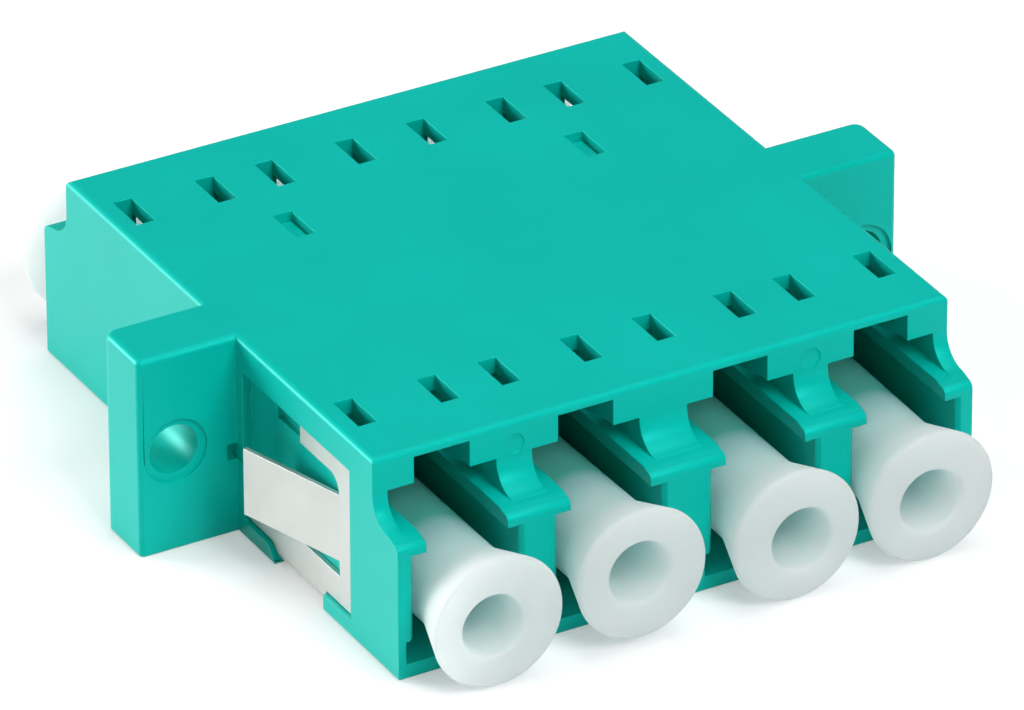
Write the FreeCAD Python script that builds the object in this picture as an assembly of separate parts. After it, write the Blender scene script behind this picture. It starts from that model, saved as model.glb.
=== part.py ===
import FreeCAD, Part
import math
import os

# Flanged four-port LC fibre adapter with a sheet-metal panel clip and eight dust caps.
# Millimetres. +X runs across the four ports, -Y is the front, +Z is up (latch side).
# The origin is on the underside, in the middle of the housing.

V = FreeCAD.Vector

# ---- housing outside ----
port_pitch = 6.25            # between the two ports of a duplex pair
pair_gap = 0.55              # what the two pairs stand further apart than their ports do
side_wall = 0.7              # housing wall beside the outer ports
body_height = 8.7
nose_half_length = 14.4      # nose of the walls from the middle
roof_setback = 1.95          # roof edge behind the nose
neck_z = 7.15                # where the wall front starts to curve out below the roof
shelf_z = 5.98               # top of the nose, under that curve
nose_drop = 0.14             # fall of the nose top towards its edge
nose_round = 0.32
roof_round = 0.25
foot_round = 0.12

# ---- panel flange ----
flange_ear = 4.25            # how far each end of the flange stands out from the body
flange_hole_edge = 1.6       # from the hole's centre to the flange's end
flange_front = 1.6           # front face ahead of the middle
flange_back = 1.3
flange_hole_d = 2.1
flange_sink_d = 2.75
flange_sink_depth = 0.18
flange_back_round = 0.5
flange_front_round = 0.22

# ---- one port ----
port_axis_z = 2.95
chamber_half = 2.3           # plug chamber, half width and half height below the axis
chamber_top_z = 5.33         # underside of the two rails
rail_width = 0.55            # how far each rail stands in over the chamber
rail_top_z = 5.95
wing_extra = 0.05            # the wings' slot is this much wider than the chamber, each side
wing_top_z = 7.2
wing_end = 7.35              # blind end of the wing slot from the middle
catch_roof = 0.7             # roof left over the slot behind the catch
catch_ramp_start = 12.0      # ramp that presses the latch down
catch_ramp_end = 10.35
catch_drop = 0.4
latch_half = 1.2
latch_roof = 0.37            # roof left over the latch slot
latch_end = 6.2
relief_extra = 0.36          # lower corner relief beside the mouth
relief_top_z = 1.62
relief_depth = 1.9
mouth_chamfer = 0.18

# ---- ejector-pin marks on the front, between the two latch slots of a pair ----
pin_mark_d = 0.85
pin_mark_depth = 0.06
pin_mark_drop = 1.05         # below the roof

# ---- windows in the roof ----
window_offset = 1.8          # from the port's axis
window_width = 0.8
window_length = 2.0
window_y = 8.94

# ---- sleeve carriers ----
web_thickness = 1.2
carrier_gap = 0.03           # clearance of the carrier in the housing
divider_top_start = 3.5      # the divider's upper part starts here
tube_od = 2.9
tube_reach = 4.3             # end of the tube from the middle
sleeve_od = 1.6
sleeve_id = 1.25
sleeve_length = 6.8
sleeve_slit = 0.2
sleeve_play = 0.03           # radial play of the sleeve in its tube
sleeve_end_play = 0.05
tube_lip_id = 1.36           # lips at the tube's ends that hold the sleeve in
tube_mouth_id = 2.0          # the lips open outwards to this, as a lead-in for the ferrule
snap_window_width = 0.84
snap_window_length = 1.95
snap_window_y = 4.97
snap_recess = 0.4            # snap's top below the roof

# ---- panel clip ----
sheet = 0.2
pocket_web = 0.3             # what the pocket leaves of the side wall
pocket_gap = 0.06            # clearance round the clip in its pocket
clip_seat_gap = 0.02         # clearance behind the sheet
clip_front = 10.55
clip_rear = 2.15
clip_top_z = 7.25
clip_foot_z = 0.78
strap_front = 8.35
strap_rear = 4.55
strap_curve = 0.75           # curve between the strap and the rear foot
clip_band = 1.1              # width of the band in front of the tongue
clip_hook_end = 6.4
clip_hook_z = 6.35
clip_hook_round = 0.7        # inside corner between the hook and the band
tongue_z0 = 2.68
tongue_z1 = 5.6
slit_z0 = 2.0
tongue_length = 5.1
tongue_rise = 1.5            # how far the tongue's free end stands out
strap_bend = 0.45            # outer bend radius at the housing's foot
groove_depth = 0.3
dark_slot_y0 = 6.3           # blind slot in the pocket, behind the clip's hook
dark_slot_y1 = 4.2
dark_slot_z0 = 6.3
dark_slot_depth = 0.22
notch_z0 = 3.25              # small notch in the flange beside the pocket
notch_z1 = 3.95
notch_width = 0.42
notch_depth = 0.5
rib_behind_flange = 0.35     # rib between the flange and the pocket

# ---- dust caps ----
cap_stand_out = 2.4          # how far the cap's open face stands out from the nose
cap_end = 2.0                # the cap's inner end from the middle
cap_spacing = 0.69           # between the rims of neighbouring caps
cap_rim_width = 0.22
cap_edge = 0.1               # chamfer round the rim and round the bore
cap_cone_end = 2.2           # the flare is a plain cone up to here from the face
cap_cone_rise = 0.17         # and stands this far over the tube there
cap_tube_d = 3.9
cap_bore_d = 2.6
cap_bore_depth = 5.0
cap_floor = 1.2
cap_socket_play = 0.05       # radial play on the sleeve tube

BEYOND = 1.0                 # cutters run this far past a face

roof_half_length = nose_half_length - roof_setback
latch_top_z = body_height - latch_roof
catch_room_z = body_height - catch_roof
cap_face = nose_half_length + cap_stand_out
pair_pitch = 2 * port_pitch + pair_gap
body_width = pair_pitch + port_pitch + 2 * (chamber_half + side_wall)
flange_width = body_width + 2 * flange_ear
flange_hole_pitch = flange_width - 2 * flange_hole_edge
rail_gap_half = chamber_half - rail_width
wing_half = chamber_half + wing_extra
pocket_depth = side_wall - pocket_web
cap_rim_d = port_pitch - cap_spacing
half_pitch = port_pitch / 2
wall_half = half_pitch - chamber_half        # half thickness of a divider
pair_half = half_pitch + chamber_half        # half width of a pair's cavity
floor_z = port_axis_z - chamber_half
web_half = web_thickness / 2
outer_y = nose_half_length + BEYOND
PAIRS = {"left": -pair_pitch / 2, "right": pair_pitch / 2}
PORT_X = [x + side * half_pitch for x in PAIRS.values() for side in (-1, 1)]


def box(x0, x1, y0, y1, z0, z1):
    """Box between two corners, given in any order."""
    low = V(min(x0, x1), min(y0, y1), min(z0, z1))
    return Part.makeBox(abs(x1 - x0), abs(y1 - y0), abs(z1 - z0), low)


def rod(radius, y0, y1, x, z):
    """Round bar along Y."""
    return Part.makeCylinder(radius, abs(y1 - y0), V(x, min(y0, y1), z), V(0, 1, 0))


def prism(points, direction):
    """Extrude a closed polygon along a vector."""
    return Part.Face(Part.makePolygon(points + points[:1])).extrude(direction)


def fuse(shapes):
    """Union without the seams between coplanar faces."""
    joined = shapes[0]
    for shape in shapes[1:]:
        joined = joined.fuse(shape)
    return joined.removeSplitter()


def mirror_y(shape):
    return shape.mirror(V(0, 0, 0), V(0, 1, 0))


def mirror_x(shape):
    return shape.mirror(V(0, 0, 0), V(1, 0, 0))


# ---------------------------------------------------------------- housing

def side_profile(width):
    """Body seen from the side: roof, hollow curve, rounded nose and flat foot, both ends."""
    curve = neck_z - shelf_z
    x0 = -width / 2
    roof_y = roof_half_length
    nose_y = nose_half_length
    nose_z = shelf_z - nose_drop
    corner = nose_round * math.sqrt(0.5)
    half = [
        Part.makeLine(V(x0, 0, body_height), V(x0, -roof_y, body_height)),
        Part.makeLine(V(x0, -roof_y, body_height), V(x0, -roof_y, neck_z)),
        Part.Arc(V(x0, -roof_y, neck_z),
                 V(x0, -roof_y - curve * (1 - math.sqrt(0.5)), neck_z - curve * math.sqrt(0.5)),
                 V(x0, -roof_y - curve, shelf_z)).toShape(),
        Part.makeLine(V(x0, -roof_y - curve, shelf_z), V(x0, -nose_y + nose_round, nose_z)),
        Part.Arc(V(x0, -nose_y + nose_round, nose_z),
                 V(x0, -nose_y + nose_round - corner, nose_z - nose_round + corner),
                 V(x0, -nose_y, nose_z - nose_round)).toShape(),
        Part.makeLine(V(x0, -nose_y, nose_z - nose_round), V(x0, -nose_y, 0)),
        Part.makeLine(V(x0, -nose_y, 0), V(x0, 0, 0)),
    ]
    wires = half + [mirror_y(edge) for edge in half]
    outline = Part.Wire(Part.__sortEdges__(wires))
    return Part.Face(outline).extrude(V(width, 0, 0))


def edges_at(shape, height):
    """Edges that lie at one height."""
    return [e for e in shape.Edges if all(abs(v.Z - height) < 1e-6 for v in e.Vertexes)]


def upright_edges(shape, y):
    """Upright edges on the plane at one y."""
    found = []
    for edge in shape.Edges:
        a, b = edge.Vertexes[0], edge.Vertexes[-1]
        if abs(a.Z - b.Z) > roof_round and abs(a.Y - y) < 1e-6 and abs(b.Y - y) < 1e-6:
            found.append(edge)
    return found


def soften(solid):
    """Round the roof's and the foot's edges."""
    solid = solid.makeFillet(roof_round, edges_at(solid, body_height))
    return solid.makeFillet(foot_round, edges_at(solid, 0))


def outer_shell():
    """Body and flange with their rounded edges, before anything is cut."""
    half_flange = flange_width / 2
    flange = box(-half_flange, half_flange, -flange_front, flange_back, 0, body_height)
    flange = flange.makeFillet(flange_back_round, upright_edges(flange, flange_back))
    flange = flange.makeFillet(flange_front_round, upright_edges(flange, -flange_front))
    return fuse([soften(side_profile(body_width)), soften(flange)])


def wing_slot(x, half):
    """Slot for the latch's wings, with the ramp and the catch in its ceiling."""
    ramp_z = wing_top_z - catch_drop
    catch_y = window_y + window_length / 2
    yz = [(outer_y, rail_top_z), (outer_y, wing_top_z), (catch_ramp_start, wing_top_z),
          (catch_ramp_end, ramp_z), (catch_y, ramp_z), (catch_y, catch_room_z),
          (wing_end, catch_room_z), (wing_end, rail_top_z)]
    return prism([V(x - half, -y, z) for y, z in yz], V(2 * half, 0, 0))


def mouth_lead_in(x):
    """Small lead-in round the chamber's two side walls at the nose."""
    back_y = nose_half_length - mouth_chamfer
    wide = chamber_half + mouth_chamfer
    xy = [(-wide, nose_half_length), (wide, nose_half_length),
          (chamber_half, back_y), (-chamber_half, back_y)]
    points = [V(x + px, -py, floor_z) for px, py in xy]
    return prism(points, V(0, 0, chamber_top_z - floor_z))


def port_cutter(x):
    """Everything that one front port removes from the housing."""
    corner = chamber_half + relief_extra
    relief_y = nose_half_length - relief_depth
    parts = [
        box(x - chamber_half, x + chamber_half, -outer_y, -web_half, floor_z, chamber_top_z),
        box(x - rail_gap_half, x + rail_gap_half, -outer_y, -latch_end, floor_z, rail_top_z),
        box(x - latch_half, x + latch_half, -outer_y, -latch_end, floor_z, latch_top_z),
        box(x - corner, x + corner, -outer_y, -relief_y, floor_z, relief_top_z),
        wing_slot(x, wing_half),
        mouth_lead_in(x),
    ]
    return fuse(parts)


def roof_windows(x):
    """The two small windows over one port's latch catches."""
    y0 = -window_y - window_length / 2
    cutters = []
    for side in (-1, 1):
        middle = x + side * window_offset
        cutters.append(box(middle - window_width / 2, middle + window_width / 2,
                           y0, y0 + window_length, catch_room_z - 0.05, body_height + BEYOND))
    return cutters


def carrier_cavity(x):
    """Room for one sleeve carrier, open at the back."""
    gap = carrier_gap
    rail = half_pitch - rail_gap_half + gap
    blade = half_pitch - wing_half + gap
    start = divider_top_start - gap
    snap_y = snap_window_y - snap_window_length / 2
    snap_x = snap_window_width / 2
    return fuse([
        box(x - pair_half, x + pair_half, -web_half, outer_y, floor_z, chamber_top_z),
        box(x - rail, x + rail, start, outer_y, chamber_top_z - gap, rail_top_z + gap),
        box(x - blade, x + blade, start, outer_y, rail_top_z, wing_top_z),
        box(x - snap_x, x + snap_x, snap_y, snap_y + snap_window_length,
            wing_top_z - gap, body_height + BEYOND),
    ])


def clip_outline(grow):
    """The clip's side plate seen from the side, as (y, z) wire edges, grown by a clearance."""
    front = -(clip_front + grow)
    rear = -(clip_rear - grow)
    top = clip_top_z + grow
    foot = clip_foot_z - grow
    strap_a = -(strap_front + grow)
    strap_b = -(strap_rear - grow)
    bend = strap_curve
    arc_mid = bend * math.sqrt(0.5)
    below = -BEYOND
    x = 0
    points = [V(x, rear, foot), V(x, rear, top), V(x, front, top), V(x, front, foot),
              V(x, strap_a, foot), V(x, strap_a, below), V(x, strap_b, below),
              V(x, strap_b, foot - bend)]
    edges = [Part.makeLine(a, b) for a, b in zip(points[:-1], points[1:])]
    middle = V(x, strap_b + bend - arc_mid, foot - bend + arc_mid)
    edges.append(Part.Arc(points[-1], middle, V(x, strap_b + bend, foot)).toShape())
    edges.append(Part.makeLine(V(x, strap_b + bend, foot), points[0]))
    return Part.Wire(edges)


def clip_pocket():
    """Pocket in the left side for the clip's plate, and half of the groove for its strap."""
    side_x = body_width / 2
    outline = Part.Face(clip_outline(pocket_gap))
    outline.translate(V(-side_x - BEYOND, 0, 0))
    pocket = outline.extrude(V(BEYOND + pocket_depth, 0, 0))
    floor_x = -side_x + pocket_depth
    groove = box(floor_x - pocket_depth, 0, -strap_front - pocket_gap,
                 -strap_rear + pocket_gap, -BEYOND, groove_depth)
    slot = box(floor_x - 0.1, floor_x + dark_slot_depth, -dark_slot_y0, -dark_slot_y1,
               dark_slot_z0, clip_top_z + pocket_gap)
    bend = strap_bend - sheet + pocket_gap
    bevel_y = -strap_front - pocket_gap
    bevel_end = -strap_rear + strap_curve / 4    # the curve to the foot starts over the bend
    corner = [V(floor_x, bevel_y, groove_depth),
              V(floor_x + bend, bevel_y, groove_depth),
              V(floor_x, bevel_y, groove_depth + bend)]
    bevel = prism(corner, V(0, bevel_end - bevel_y, 0))
    rib_x = -side_x - notch_width
    notch = box(rib_x, -side_x + 0.1, -flange_front - BEYOND, -flange_front + notch_depth,
                notch_z0, notch_z1)
    rib = box(-side_x, floor_x, -flange_front - rib_behind_flange, 0, 0, body_height)
    return fuse([pocket.cut(rib), groove, slot, bevel]), notch


def pin_mark(x):
    """Shallow round mark that an ejector pin leaves on the front face."""
    return rod(pin_mark_d / 2, -outer_y, -roof_half_length + pin_mark_depth,
               x, body_height - pin_mark_drop)


def flange_hole(x):
    z = body_height / 2
    hole = rod(flange_hole_d / 2, -flange_front - BEYOND, flange_back + BEYOND, x, z)
    sink = rod(flange_sink_d / 2, -flange_front - BEYOND, -flange_front + flange_sink_depth, x, z)
    return hole.fuse(sink)


def make_housing():
    cutters = []
    for x in PORT_X:
        port = port_cutter(x)
        cutters += [port, mirror_y(port)]
        for window in roof_windows(x):
            cutters += [window, mirror_y(window)]
    for x in PAIRS.values():
        cutters += [carrier_cavity(x), pin_mark(x)]
    pocket, notch = clip_pocket()
    cutters += [pocket, mirror_x(pocket), notch, mirror_x(notch)]
    cutters += [flange_hole(side * flange_hole_pitch / 2) for side in (-1, 1)]
    return outer_shell().cut(cutters).removeSplitter()


# ---------------------------------------------------------------- sleeve carrier

def carrier_blank(x):
    """Web and rear divider of one carrier, cut to the nose's profile."""
    gap = carrier_gap
    low = floor_z + gap
    rail = half_pitch - rail_gap_half
    blade = half_pitch - wing_half
    start = divider_top_start
    web = box(x - pair_half + gap, x + pair_half - gap, -web_half, web_half,
              low, chamber_top_z - gap)
    divider = fuse([
        box(x - wall_half, x + wall_half, 0, outer_y, low, chamber_top_z),
        box(x - rail, x + rail, start, outer_y, chamber_top_z, rail_top_z),
        box(x - blade, x + blade, start, outer_y, rail_top_z - gap, wing_top_z - gap),
    ])
    relief_y = nose_half_length - relief_depth
    corner = half_pitch - chamber_half - relief_extra
    for side in (-1, 1):
        divider = divider.cut(box(x + side * corner, x + side * half_pitch, relief_y, outer_y,
                                  floor_z, relief_top_z))
        divider = divider.cut(mirror_y(mouth_lead_in(x + side * half_pitch)))
    snap_y = snap_window_y - snap_window_length / 2 + gap
    snap_x = snap_window_width / 2 - gap
    snap = box(x - snap_x, x + snap_x, snap_y, snap_y + snap_window_length - 2 * gap,
               rail_top_z, body_height - snap_recess)
    envelope = side_profile(body_width)
    return fuse([web, divider.common(envelope), snap])


def make_carrier(x):
    """Duplex sleeve carrier: web, four tube ends, rear divider and its snap."""
    solid = carrier_blank(x)
    for side in (-1, 1):
        axis = x + side * half_pitch
        solid = solid.fuse(rod(tube_od / 2, -tube_reach, tube_reach, axis, port_axis_z))
    seat = sleeve_length / 2 + sleeve_end_play
    for side in (-1, 1):
        axis = x + side * half_pitch
        bore = rod(sleeve_od / 2 + sleeve_play, -seat, seat, axis, port_axis_z)
        mouth = Part.makeCone(tube_lip_id / 2, tube_mouth_id / 2, tube_reach - seat,
                              V(axis, seat, port_axis_z), V(0, 1, 0))
        solid = solid.cut([bore, mouth, mirror_y(mouth)])
    return solid.removeSplitter()


def make_sleeve(x):
    """Split alignment sleeve, its slit upwards."""
    half = sleeve_length / 2
    tube = rod(sleeve_od / 2, -half, half, x, port_axis_z)
    tube = tube.cut(rod(sleeve_id / 2, -half - BEYOND, half + BEYOND, x, port_axis_z))
    slit = box(x - sleeve_slit / 2, x + sleeve_slit / 2, -half - BEYOND, half + BEYOND,
               port_axis_z, port_axis_z + sleeve_od)
    return tube.cut(slit)


# ---------------------------------------------------------------- panel clip

def clip_channel():
    """The folded U of the sheet, as long as the side plates, with round bends."""
    outer_x = body_width / 2 - pocket_depth + clip_seat_gap + sheet
    outer_z = groove_depth - clip_seat_gap - sheet
    inner_x = outer_x - sheet
    inner_z = outer_z + sheet
    length = clip_front - clip_rear
    outside = box(-outer_x, outer_x, -clip_front, -clip_rear, outer_z, clip_top_z)
    inside = box(-inner_x, inner_x, -clip_front - BEYOND, -clip_rear + BEYOND,
                 inner_z, clip_top_z + BEYOND)
    corners = [e for e in outside.Edges
               if e.Length > length - 1e-6 and max(v.Z for v in e.Vertexes) < inner_z
               and abs(e.Vertexes[0].Y - e.Vertexes[1].Y) > length - 1e-6]
    outside = outside.makeFillet(strap_bend, corners)
    corners = [e for e in inside.Edges
               if abs(e.Vertexes[0].Y - e.Vertexes[1].Y) > length
               and max(v.Z for v in e.Vertexes) < inner_z + 1e-6]
    inside = inside.makeFillet(strap_bend - sheet, corners)
    return outside.cut(inside), outer_x


def clip_tongue(outer_x):
    """Tongue lanced out of the left plate and bent outwards, pointing at the flange."""
    root_y = -(clip_front - clip_band)
    angle = math.asin(tongue_rise / tongue_length)
    along = V(-math.sin(angle), math.cos(angle), 0)
    across = V(math.cos(angle), math.sin(angle), 0)
    root = V(-outer_x, root_y, tongue_z0)
    tip = root + along * tongue_length
    points = [root, tip, tip + across * sheet, root + across * sheet,
              V(-outer_x + sheet, root_y - sheet, tongue_z0), V(-outer_x, root_y - sheet, tongue_z0)]
    return prism(points, V(0, 0, tongue_z1 - tongue_z0))


def make_clip():
    channel, outer_x = clip_channel()
    width = body_width + 2 * BEYOND
    outline = Part.Face(clip_outline(0))
    outline.translate(V(-width / 2, 0, 0))
    folded = channel.common(outline.extrude(V(width, 0, 0)))
    window_front = -(clip_front - clip_band)
    rear = -clip_rear + BEYOND
    hook_y = -clip_hook_end
    opening = box(-width, width, window_front, rear, slit_z0, clip_hook_z)
    corner = [e for e in edges_at(opening, clip_hook_z)
              if all(abs(v.Y - window_front) < 1e-6 for v in e.Vertexes)]
    folded = folded.cut(opening.makeFillet(clip_hook_round, corner))
    folded = folded.cut(box(-width, width, hook_y, rear, clip_hook_z - 0.1, clip_top_z + BEYOND))
    tongue = clip_tongue(outer_x)
    return fuse([folded, tongue, mirror_x(tongue)])


# ---------------------------------------------------------------- dust cap

def make_cap(x):
    """Front dust cap, turned: flared rim, blind bore in front and socket for the sleeve tube."""
    length = cap_face - cap_end
    rim = cap_rim_d / 2
    tube = cap_tube_d / 2
    bore = cap_bore_d / 2
    socket = tube_od / 2 + cap_socket_play
    cone = tube + cap_cone_rise
    slope = math.atan((rim - cone) / (cap_cone_end - cap_rim_width))
    sweep = cap_cone_rise / (1 - math.cos(slope))        # radius of the curve into the tube
    flare_end = cap_cone_end + sweep * math.sin(slope)

    def at(r, s):
        return V(x + r, -cap_face + s, port_axis_z)

    halfway = at(tube + sweep * (1 - math.cos(slope / 2)), flare_end - sweep * math.sin(slope / 2))
    edges = [
        Part.makeLine(at(bore + cap_edge, 0), at(rim - cap_edge, 0)),
        Part.makeLine(at(rim - cap_edge, 0), at(rim, cap_edge)),
        Part.makeLine(at(rim, cap_edge), at(rim, cap_rim_width)),
        Part.makeLine(at(rim, cap_rim_width), at(cone, cap_cone_end)),
        Part.Arc(at(cone, cap_cone_end), halfway, at(tube, flare_end)).toShape(),
        Part.makeLine(at(tube, flare_end), at(tube, length)),
        Part.makeLine(at(tube, length), at(socket, length)),
        Part.makeLine(at(socket, length), at(socket, cap_bore_depth + cap_floor)),
        Part.makeLine(at(socket, cap_bore_depth + cap_floor), at(0, cap_bore_depth + cap_floor)),
        Part.makeLine(at(0, cap_bore_depth + cap_floor), at(0, cap_bore_depth)),
        Part.makeLine(at(0, cap_bore_depth), at(bore, cap_bore_depth)),
        Part.makeLine(at(bore, cap_bore_depth), at(bore, cap_edge)),
        Part.makeLine(at(bore, cap_edge), at(bore + cap_edge, 0)),
    ]
    face = Part.Face(Part.Wire(edges))
    return face.revolve(V(x, 0, port_axis_z), V(0, 1, 0), 360)


# ---------------------------------------------------------------- parts

def build():
    parts = {"housing": make_housing(), "mounting_clip": make_clip()}
    for name, x in PAIRS.items():
        parts["sleeve_carrier_" + name] = make_carrier(x)
    for number, x in enumerate(PORT_X, 1):
        cap = make_cap(x)
        parts["alignment_sleeve_%d" % number] = make_sleeve(x)
        parts["front_dust_cap_%d" % number] = cap
        parts["rear_dust_cap_%d" % number] = mirror_y(cap)
    return parts


os.makedirs("parts", exist_ok=True)
for node, shape in build().items():
    shape.exportStep("parts/%s.step" % node)
    print("%-22s valid %s  solids %d  volume %.2f mm3"
          % (node, shape.isValid(), len(shape.Solids), shape.Volume))
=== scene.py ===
import math

import bmesh
import bpy
import numpy as np
from mathutils import Matrix, Vector


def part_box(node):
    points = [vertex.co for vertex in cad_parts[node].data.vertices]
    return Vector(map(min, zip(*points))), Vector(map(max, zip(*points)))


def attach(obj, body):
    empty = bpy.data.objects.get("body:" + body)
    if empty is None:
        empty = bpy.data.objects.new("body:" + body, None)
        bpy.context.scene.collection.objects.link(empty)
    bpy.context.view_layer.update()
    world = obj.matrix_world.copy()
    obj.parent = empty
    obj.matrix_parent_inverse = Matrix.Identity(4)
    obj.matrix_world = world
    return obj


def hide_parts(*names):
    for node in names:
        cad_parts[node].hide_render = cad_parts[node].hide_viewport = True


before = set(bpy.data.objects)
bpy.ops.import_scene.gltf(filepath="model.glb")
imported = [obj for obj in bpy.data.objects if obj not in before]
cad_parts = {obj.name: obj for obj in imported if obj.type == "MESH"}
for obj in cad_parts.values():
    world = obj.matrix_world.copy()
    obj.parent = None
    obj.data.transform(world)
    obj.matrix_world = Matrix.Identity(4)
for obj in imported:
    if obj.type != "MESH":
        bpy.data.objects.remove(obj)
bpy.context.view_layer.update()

# ---------------------------------------------------------------- housing
# One injection-moulded block of aqua PBT with the panel flange across its middle.
# The mould leaves its edges a little rounded and its faces with a fine spark-eroded grain.

MM = 0.001
housing_edge = 0.03 * MM
mould_grain = 9000.0        # cells a metre, so a cell is about 0.1 mm
mould_relief = 0.006 * MM


def rounded_copy(node, name, width):
    """Copy of a CAD node: doubles merged, flat faces joined, then each edge sharper than
    30 degrees rolled over by a width with three steps."""
    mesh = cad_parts[node].data.copy()
    mesh.name = name
    shell = bmesh.new()
    shell.from_mesh(mesh)
    bmesh.ops.remove_doubles(shell, verts=shell.verts, dist=2e-7)
    bmesh.ops.dissolve_limit(shell, angle_limit=math.radians(0.2), use_dissolve_boundaries=False,
                             verts=shell.verts, edges=shell.edges)
    for face in shell.faces:
        face.smooth = True
    shell.to_mesh(mesh)
    shell.free()
    mesh.materials.clear()
    piece = bpy.data.objects.new(name, mesh)
    bpy.context.scene.collection.objects.link(piece)
    edge = piece.modifiers.new("rolled edge", "BEVEL")
    edge.width = width
    edge.segments = 3
    edge.limit_method = "ANGLE"
    edge.angle_limit = math.radians(30)
    edge.use_clamp_overlap = False
    even = piece.modifiers.new("even faces", "WEIGHTED_NORMAL")
    even.mode = "FACE_AREA"
    even.weight = 100
    return piece


def new_material(name):
    """Material with a shader wired to its output: the material, its node tree, the shader."""
    material = bpy.data.materials.new(name)
    material.use_nodes = True
    tree = material.node_tree
    tree.nodes.clear()
    output = tree.nodes.new("ShaderNodeOutputMaterial")
    shader = tree.nodes.new("ShaderNodeBsdfPrincipled")
    tree.links.new(shader.outputs["BSDF"], output.inputs["Surface"])
    return material, tree, shader


def noise(tree, scale, detail=3.0, roughness=0.5):
    """Noise on Object coordinates, with its scale in cells a metre."""
    place = tree.nodes.new("ShaderNodeTexCoord")
    grain = tree.nodes.new("ShaderNodeTexNoise")
    grain.inputs["Scale"].default_value = scale
    grain.inputs["Detail"].default_value = detail
    grain.inputs["Roughness"].default_value = roughness
    tree.links.new(place.outputs["Object"], grain.inputs["Vector"])
    return grain.outputs["Fac"]


def ramp(tree, factor, stops):
    """Colour ramp over a factor, its stops as (place, colour)."""
    node = tree.nodes.new("ShaderNodeValToRGB")
    node.color_ramp.elements[0].position = stops[0][0]
    node.color_ramp.elements[0].color = (*stops[0][1], 1)
    node.color_ramp.elements[1].position = stops[-1][0]
    node.color_ramp.elements[1].color = (*stops[-1][1], 1)
    for place, colour in stops[1:-1]:
        node.color_ramp.elements.new(place).color = (*colour, 1)
    tree.links.new(factor, node.inputs["Fac"])
    return node.outputs["Color"]


def span(tree, factor, low, high):
    """Factor 0..1 stretched to low..high."""
    node = tree.nodes.new("ShaderNodeMapRange")
    node.inputs["To Min"].default_value = low
    node.inputs["To Max"].default_value = high
    tree.links.new(factor, node.inputs["Value"])
    return node.outputs["Result"]


def bump(tree, shader, height, distance, strength):
    """Relief of a height field, its full depth in metres."""
    node = tree.nodes.new("ShaderNodeBump")
    node.inputs["Distance"].default_value = distance
    node.inputs["Strength"].default_value = strength
    tree.links.new(height, node.inputs["Height"])
    tree.links.new(node.outputs["Normal"], shader.inputs["Normal"])


def aqua_plastic(name, low, high):
    """Moulded plastic: cloudy colour from slow noise, gloss and relief from fine grain."""
    material, tree, shader = new_material(name)
    tree.links.new(ramp(tree, noise(tree, 180.0, 4.0), [(0.3, low), (0.7, high)]),
                   shader.inputs["Base Color"])
    grain = noise(tree, mould_grain, 2.0, 0.6)
    tree.links.new(span(tree, grain, 0.36, 0.46), shader.inputs["Roughness"])
    shader.inputs["IOR"].default_value = 1.65
    shader.inputs["Specular Tint"].default_value = (0.05, 1.0, 0.92, 1)
    bump(tree, shader, grain, mould_relief, 0.25)
    return material


housing = rounded_copy("housing", "moulded_housing", housing_edge)
housing.data.materials.append(
    aqua_plastic("aqua housing plastic", (0, 0.455, 0.382), (0, 0.490, 0.412)))
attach(housing, "adapter")
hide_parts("housing")

# ---------------------------------------------------------------- sleeve carriers
# Two inserts of the same plastic, pushed in from the back until their snap catches.
# Each holds two sleeve tubes on a web and brings the wall between its two rear ports.

carrier_edge = 0.045 * MM
carrier_plastic = aqua_plastic("aqua carrier plastic", (0, 0.445, 0.375), (0, 0.480, 0.405))
for side in ("left", "right"):
    node = "sleeve_carrier_" + side
    carrier = rounded_copy(node, node + "_moulded", carrier_edge)
    carrier.data.materials.append(carrier_plastic)
    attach(carrier, "adapter")
    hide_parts(node)

# ---------------------------------------------------------------- alignment sleeves
# Four split tubes of ground zirconia that centre the two ferrules of each line.
# They float in their tubes, held in by the lips, and keep the form they have in the CAD.

ceramic, tree, shader = new_material("ground zirconia")
ivory = ramp(tree, noise(tree, 2500.0), [(0.3, (0.83, 0.83, 0.80)), (0.7, (0.88, 0.88, 0.86))])
tree.links.new(ivory, shader.inputs["Base Color"])
shader.inputs["IOR"].default_value = 2.1
tree.links.new(span(tree, noise(tree, 12000.0), 0.16, 0.26), shader.inputs["Roughness"])
for number in (1, 2, 3, 4):
    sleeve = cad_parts["alignment_sleeve_%d" % number]
    for place in sleeve.material_slots:
        place.material = ceramic

# ---------------------------------------------------------------- panel clip
# Spring steel strip, blanked and folded to a U under the housing, its tongues bent outwards.
# The rolled finish runs along the strip, and the sheared edges are slightly broken.

clip_edge = 0.02 * MM
lines_across = 9000.0       # cells a metre across the rolling direction
lines_along = 500.0         # and along it
rolled_relief = 0.001 * MM


def rolled_steel(name):
    """Satin strip: pale warm metal, with faint rolling lines drawn out along Z."""
    material, tree, shader = new_material(name)
    place = tree.nodes.new("ShaderNodeTexCoord")
    stretch = tree.nodes.new("ShaderNodeMapping")
    stretch.inputs["Scale"].default_value = (lines_across, lines_across, lines_along)
    lines = tree.nodes.new("ShaderNodeTexNoise")
    lines.inputs["Scale"].default_value = 1.0
    lines.inputs["Detail"].default_value = 2.0
    tree.links.new(place.outputs["Object"], stretch.inputs["Vector"])
    tree.links.new(stretch.outputs["Vector"], lines.inputs["Vector"])
    steel = ramp(tree, noise(tree, 600.0), [(0.3, (0.59, 0.60, 0.58)), (0.7, (0.64, 0.65, 0.63))])
    tree.links.new(steel, shader.inputs["Base Color"])
    tree.links.new(span(tree, lines.outputs["Fac"], 0.40, 0.50), shader.inputs["Roughness"])
    shader.inputs["Metallic"].default_value = 0.9
    bump(tree, shader, lines.outputs["Fac"], rolled_relief, 0.15)
    return material


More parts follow.
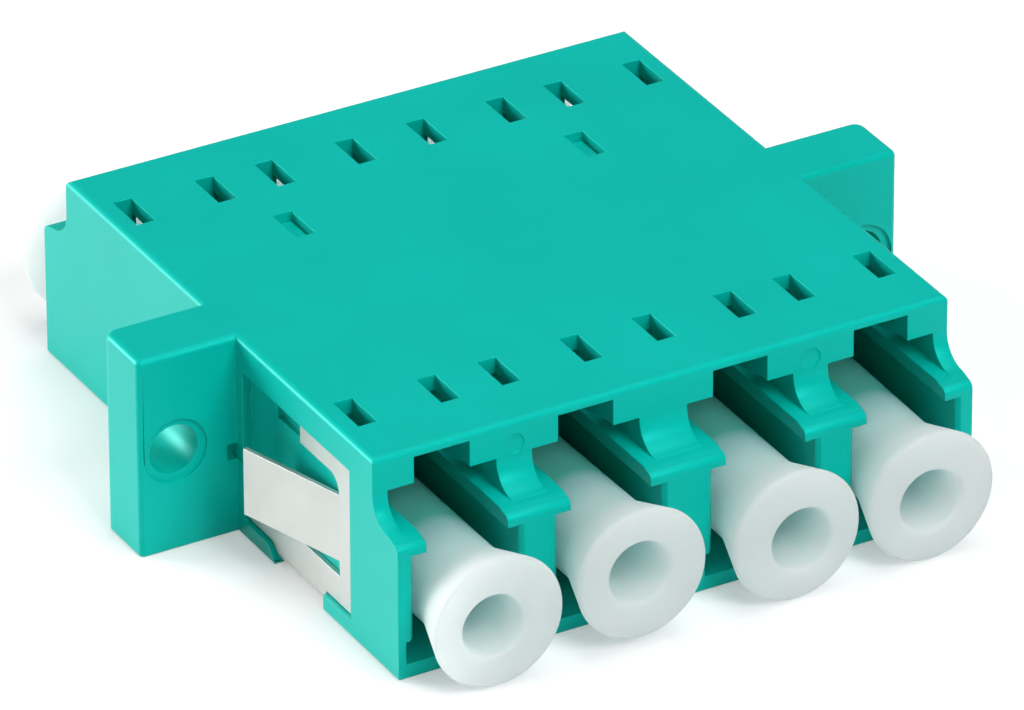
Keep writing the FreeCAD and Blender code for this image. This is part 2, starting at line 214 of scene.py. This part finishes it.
clip = rounded_copy("mounting_clip", "folded_clip", clip_edge)
clip.data.materials.append(rolled_steel("rolled spring steel"))
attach(clip, "adapter")
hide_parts("mounting_clip")

# ---------------------------------------------------------------- dust caps
# Eight moulded caps of milky soft polyethylene, each pushed over a sleeve tube.
# A flared rim and a blind bore stand out of the port; light soaks some way into the wall.

# radii, and distances behind the cap's open face, in mm
cap_r = {"rim": 2.78, "edge": 0.18, "bore": 1.3, "mouth": 0.22, "corner": 0.3,
         "cone": 2.12, "tube": 1.95, "socket": 1.5}
cap_s = {"rim": 0.22, "cone": 2.2, "bore": 5.0, "socket": 6.2, "lean": 12.5, "end": 14.8}
cap_z = 2.95
cap_around = 72             # facets round a cap
# how each front cap leans at its face, and how far its bore is off the middle, as (x, z) in mm
cap_leans = {1: (0.04, 0.0), 2: (0.04, 0.26), 3: (0.02, -0.07), 4: (-0.24, -0.09)}
bore_offs = {1: (-0.24, -0.1), 2: (-0.12, 0.09), 3: (0.24, -0.22), 4: (-0.04, -0.17)}


def arc(r0, s0, radius, a0, a1, steps):
    """Points (r, s) of an arc round (r0, s0), from angle a0 to a1 in degrees."""
    a = np.radians(np.linspace(a0, a1, steps))
    return np.stack([r0 + radius * np.cos(a), s0 + radius * np.sin(a)], 1)


def cap_profile():
    """Half section of a cap as (radius, distance behind the face) in mm, from the centre of
    the bore's floor round the rim and back along the tube to the socket's floor. The flare is
    a straight cone that runs into the tube along an arc of the same slope."""
    rim, edge = cap_r["rim"], cap_r["edge"]
    bore, mouth, corner = cap_r["bore"], cap_r["mouth"], cap_r["corner"]
    tube, cone, socket = cap_r["tube"], cap_r["cone"], cap_r["socket"]
    slope = math.atan((rim - cone) / (cap_s["cone"] - cap_s["rim"]))
    sweep = (cone - tube) / (1 - math.cos(slope))
    flare_end = cap_s["cone"] + sweep * math.sin(slope)
    parts = [
        np.array([(0.0, cap_s["bore"]), (0.4, cap_s["bore"]), (0.8, cap_s["bore"])]),
        arc(bore - corner, cap_s["bore"] - corner, corner, 90, 0, 5),
        np.array([(bore, 3.6), (bore, 2.2), (bore, 1.0)]),
        arc(bore + mouth, mouth, mouth, 180, 270, 7),
        np.array([(1.9, 0.0), (2.3, 0.0)]),
        arc(rim - edge, edge, edge, -90, 0, 7),
        np.linspace((rim, cap_s["rim"]), (cone, cap_s["cone"]), 8),
        arc(tube + sweep, flare_end, sweep, 180 + math.degrees(slope), 180, 8)[1:],
        np.linspace((tube, flare_end + 1), (tube, cap_s["end"] - 0.12), 6),
        np.array([(tube - 0.12, cap_s["end"]), (socket + 0.1, cap_s["end"]),
                  (socket, cap_s["end"] - 0.1)]),
        np.linspace((socket, 13.0), (socket, cap_s["socket"] + 0.1), 4),
        np.array([(socket - 0.1, cap_s["socket"]), (0.7, cap_s["socket"]), (0.0, cap_s["socket"])]),
    ]
    return np.concatenate(parts)


def turned_cap(name, profile, x, face_y, inward, lean, bore_off):
    """Solid of revolution about the line through (x, z of the ports) along Y: point (r, s)
    at angle t goes to (x + r cos t, face + inward * s, z + r sin t). It leans by lean at the
    face, falling to nothing down the tube, and its bore stands off the middle by bore_off."""
    t = np.arange(cap_around) * 2 * math.pi / cap_around
    r, s = profile[:, 0], profile[:, 1]
    rim = int(np.argmax(r))
    inside = np.clip((cap_r["rim"] - r) / (cap_r["rim"] - cap_r["bore"] - cap_r["mouth"]), 0, 1)
    inside[rim:] = 0
    droop = np.clip(1 - s / cap_s["lean"], 0, 1)
    mid_x = x + lean[0] * droop + bore_off[0] * inside
    mid_z = cap_z + lean[1] * droop + bore_off[1] * inside
    y = face_y + inward * s
    # a ring for each point of the section but its two ends, which close the cap as poles
    ring_x = mid_x[1:-1, None] + r[1:-1, None] * np.cos(t)
    ring_z = mid_z[1:-1, None] + r[1:-1, None] * np.sin(t)
    ring_y = np.broadcast_to(y[1:-1, None], ring_x.shape)
    poles = np.stack([mid_x, y, mid_z], 1)[[0, -1]]
    points = np.concatenate([np.stack([ring_x, ring_y, ring_z], 2).reshape(-1, 3), poles]) * MM
    rings = len(profile) - 2
    here = np.arange(cap_around)
    after = (here + 1) % cap_around
    row = np.arange(rings - 1)[:, None] * cap_around
    next_row = row + cap_around
    quads = np.stack([row + here, row + after, next_row + after, next_row + here], 2)
    last_row = (rings - 1) * cap_around
    pole = np.full(cap_around, rings * cap_around)
    faces = quads.reshape(-1, 4).tolist()
    faces += np.stack([pole, after, here], 1).tolist()
    faces += np.stack([pole + 1, last_row + here, last_row + after], 1).tolist()
    mesh = bpy.data.meshes.new(name)
    mesh.from_pydata(points.tolist(), [], faces)
    shell = bmesh.new()
    shell.from_mesh(mesh)
    bmesh.ops.recalc_face_normals(shell, faces=shell.faces)
    shell.to_mesh(mesh)
    shell.free()
    mesh.shade_smooth()
    piece = bpy.data.objects.new(name, mesh)
    bpy.context.scene.collection.objects.link(piece)
    return piece


def milky_polyethylene_port_shaded(name, deep_shade_y, milky_face_y):
    """Soft plastic that lets light through. Its colour follows the distance from the part's middle
    plane, between the two given distances in mm. It is milky at the cap's face and turns aqua down
    the port. That aqua is painted shade and the teal bounce light of the port's inside, and over
    the socket it is partly the aqua sleeve tube showing through the thin wall."""
    material, tree, shader = new_material(name)
    place = tree.nodes.new("ShaderNodeTexCoord")
    split = tree.nodes.new("ShaderNodeSeparateXYZ")
    tree.links.new(place.outputs["Object"], split.inputs["Vector"])
    depth = tree.nodes.new("ShaderNodeMath")
    depth.operation = "ABSOLUTE"
    tree.links.new(split.outputs["Y"], depth.inputs[0])
    along = tree.nodes.new("ShaderNodeMapRange")
    along.inputs["From Min"].default_value = deep_shade_y * MM
    along.inputs["From Max"].default_value = milky_face_y * MM
    tree.links.new(depth.outputs["Value"], along.inputs["Value"])
    # Painted shade: the colour goes from milky at the face to aqua deep in the port. This stands in
    # for the port's shade and its teal bounce light, and over the socket partly for the aqua sleeve
    # tube under the thin wall.
    wall = ramp(tree, along.outputs["Result"],
                [(0.02, (0.20, 0.74, 0.65)), (0.13, (0.55, 0.88, 0.88)),
                 (0.5, (0.78, 0.94, 0.935)), (0.85, (0.92, 0.97, 0.967))])
    haze = ramp(tree, noise(tree, 400.0), [(0.3, (0.97, 0.98, 0.98)), (0.7, (1.0, 1.0, 1.0))])
    cloud = tree.nodes.new("ShaderNodeMix")
    cloud.data_type = "RGBA"
    cloud.blend_type = "MULTIPLY"
    cloud.inputs[0].default_value = 1.0
    tree.links.new(wall, cloud.inputs[6])
    tree.links.new(haze, cloud.inputs[7])
    tree.links.new(cloud.outputs[2], shader.inputs["Base Color"])
    skin = noise(tree, 5000.0, 2.0)
    tree.links.new(span(tree, skin, 0.40, 0.52), shader.inputs["Roughness"])
    shader.inputs["IOR"].default_value = 1.5
    shader.inputs["Subsurface Weight"].default_value = 1.0
    shader.inputs["Subsurface Radius"].default_value = (1.0, 1.3, 1.2)
    shader.inputs["Subsurface Scale"].default_value = 1.0 * MM
    bump(tree, shader, skin, 0.004 * MM, 0.2)
    through = tree.nodes.new("ShaderNodeBsdfTranslucent")
    tree.links.new(cloud.outputs[2], through.inputs["Color"])
    both = tree.nodes.new("ShaderNodeMixShader")
    both.inputs["Fac"].default_value = 0.5
    tree.links.new(shader.outputs["BSDF"], both.inputs[1])
    tree.links.new(through.outputs["BSDF"], both.inputs[2])
    tree.links.new(both.outputs["Shader"], tree.nodes["Material Output"].inputs["Surface"])
    return material


milky = milky_polyethylene_port_shaded("milky polyethylene with painted port shade", 11.3, 16.8)
profile = cap_profile()
for number in (1, 2, 3, 4):
    for end, inward in (("front", 1), ("rear", -1)):
        node = "%s_dust_cap_%d" % (end, number)
        low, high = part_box(node)
        face_y = (low.y if inward > 0 else high.y) / MM
        lean = cap_leans[number] if end == "front" else (0, 0)
        off = bore_offs[number] if end == "front" else (0, 0)
        cap = turned_cap(node + "_moulded", profile, (low.x + high.x) / 2 / MM, face_y,
                         inward, lean, off)
        cap.data.materials.append(milky)
        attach(cap, "%s_cap_%d" % (end, number))
        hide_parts(node)

# ---------------------------------------------------------------- floor, light and camera
# A plain white sheet under the part, and soft boxes overhead, in front and low behind the
# left side. The camera stands above the front left corner.

floor_reach = 3.0
floor_white = 0.74          # share of the light that the paper gives back
floor_glow = 0.31           # and what it adds for the camera and for reflections, up to white


def white_paper(name):
    """Matt white, with a glow that only camera, glossy and transmission rays see."""
    material = bpy.data.materials.new(name)
    material.use_nodes = True
    tree = material.node_tree
    tree.nodes.clear()
    output = tree.nodes.new("ShaderNodeOutputMaterial")
    matt = tree.nodes.new("ShaderNodeBsdfDiffuse")
    matt.inputs["Color"].default_value = (floor_white, floor_white, floor_white, 1)
    glow = tree.nodes.new("ShaderNodeEmission")
    both = tree.nodes.new("ShaderNodeAddShader")
    rays = tree.nodes.new("ShaderNodeLightPath")
    seen = rays.outputs["Is Camera Ray"]
    for ray in ("Is Glossy Ray", "Is Transmission Ray"):
        either = tree.nodes.new("ShaderNodeMath")
        either.operation = "MAXIMUM"
        tree.links.new(seen, either.inputs[0])
        tree.links.new(rays.outputs[ray], either.inputs[1])
        seen = either.outputs["Value"]
    share = tree.nodes.new("ShaderNodeMath")
    share.operation = "MULTIPLY"
    share.inputs[1].default_value = floor_glow
    tree.links.new(seen, share.inputs[0])
    tree.links.new(share.outputs["Value"], glow.inputs["Strength"])
    tree.links.new(matt.outputs["BSDF"], both.inputs[0])
    tree.links.new(glow.outputs["Emission"], both.inputs[1])
    tree.links.new(both.outputs["Shader"], output.inputs["Surface"])
    return material


floor_mesh = bpy.data.meshes.new("floor")
floor_mesh.from_pydata(
    [(-floor_reach, -floor_reach, 0), (floor_reach, -floor_reach, 0),
     (floor_reach, floor_reach, 0), (-floor_reach, floor_reach, 0)], [], [(0, 1, 2, 3)])
floor = bpy.data.objects.new("floor", floor_mesh)
bpy.context.scene.collection.objects.link(floor)
floor_mesh.materials.append(white_paper("white paper"))

world = bpy.data.worlds.new("studio")
bpy.context.scene.world = world
world.use_nodes = True
tree = world.node_tree
tree.nodes.clear()
output = tree.nodes.new("ShaderNodeOutputWorld")
sky = tree.nodes.new("ShaderNodeBackground")
place = tree.nodes.new("ShaderNodeTexCoord")
split = tree.nodes.new("ShaderNodeSeparateXYZ")
tree.links.new(place.outputs["Generated"], split.inputs["Vector"])
grey = ramp(tree, split.outputs["Z"], [(0.08, (0.25, 0.25, 0.25)), (0.30, (0.10, 0.10, 0.10))])
tree.links.new(grey, sky.inputs["Color"])
sky.inputs["Strength"].default_value = 1.0
tree.links.new(sky.outputs["Background"], output.inputs["Surface"])

part_middle = Vector((0, 0, 0.004))
# each soft box as its name, its place and side in metres, and its power in watts
soft_boxes = (
    ("overhead", (0.1, 0.0, 0.8), 0.55, 2.9),
    ("front", (0.1, -0.62, 0.62), 0.4, 4.5),
    ("front low", (-0.15, -0.8, 0.30), 0.5, 0.7),
    ("left behind", (-0.62, 0.6, 0.15), 0.45, 10.0))
for name, where, size, power in soft_boxes:
    lamp_data = bpy.data.lights.new(name, "AREA")
    lamp_data.size = size
    lamp_data.energy = power
    lamp = bpy.data.objects.new(name, lamp_data)
    lamp.location = where
    lamp.rotation_euler = (part_middle - Vector(where)).to_track_quat("-Z", "Y").to_euler()
    bpy.context.scene.collection.objects.link(lamp)

camera_data = bpy.data.cameras.new("camera")
camera_data.lens = 413.07
camera_data.sensor_width = 36.0
camera_data.clip_start = 0.05
camera_data.clip_end = 20.0
camera = bpy.data.objects.new("camera", camera_data)
right = Vector((0.870807, -0.491618, -0.002477))
up = Vector((0.247353, 0.433773, 0.866405))
back = Vector((-0.424866, -0.755084, 0.499336))
turn = Matrix((right, up, back)).transposed().to_4x4()
camera.matrix_world = Matrix.Translation(Vector((-194.636, -346.619, 232.544)) * MM) @ turn
bpy.context.scene.collection.objects.link(camera)
bpy.context.scene.camera = camera
bpy.context.scene.view_settings.view_transform = "Standard"
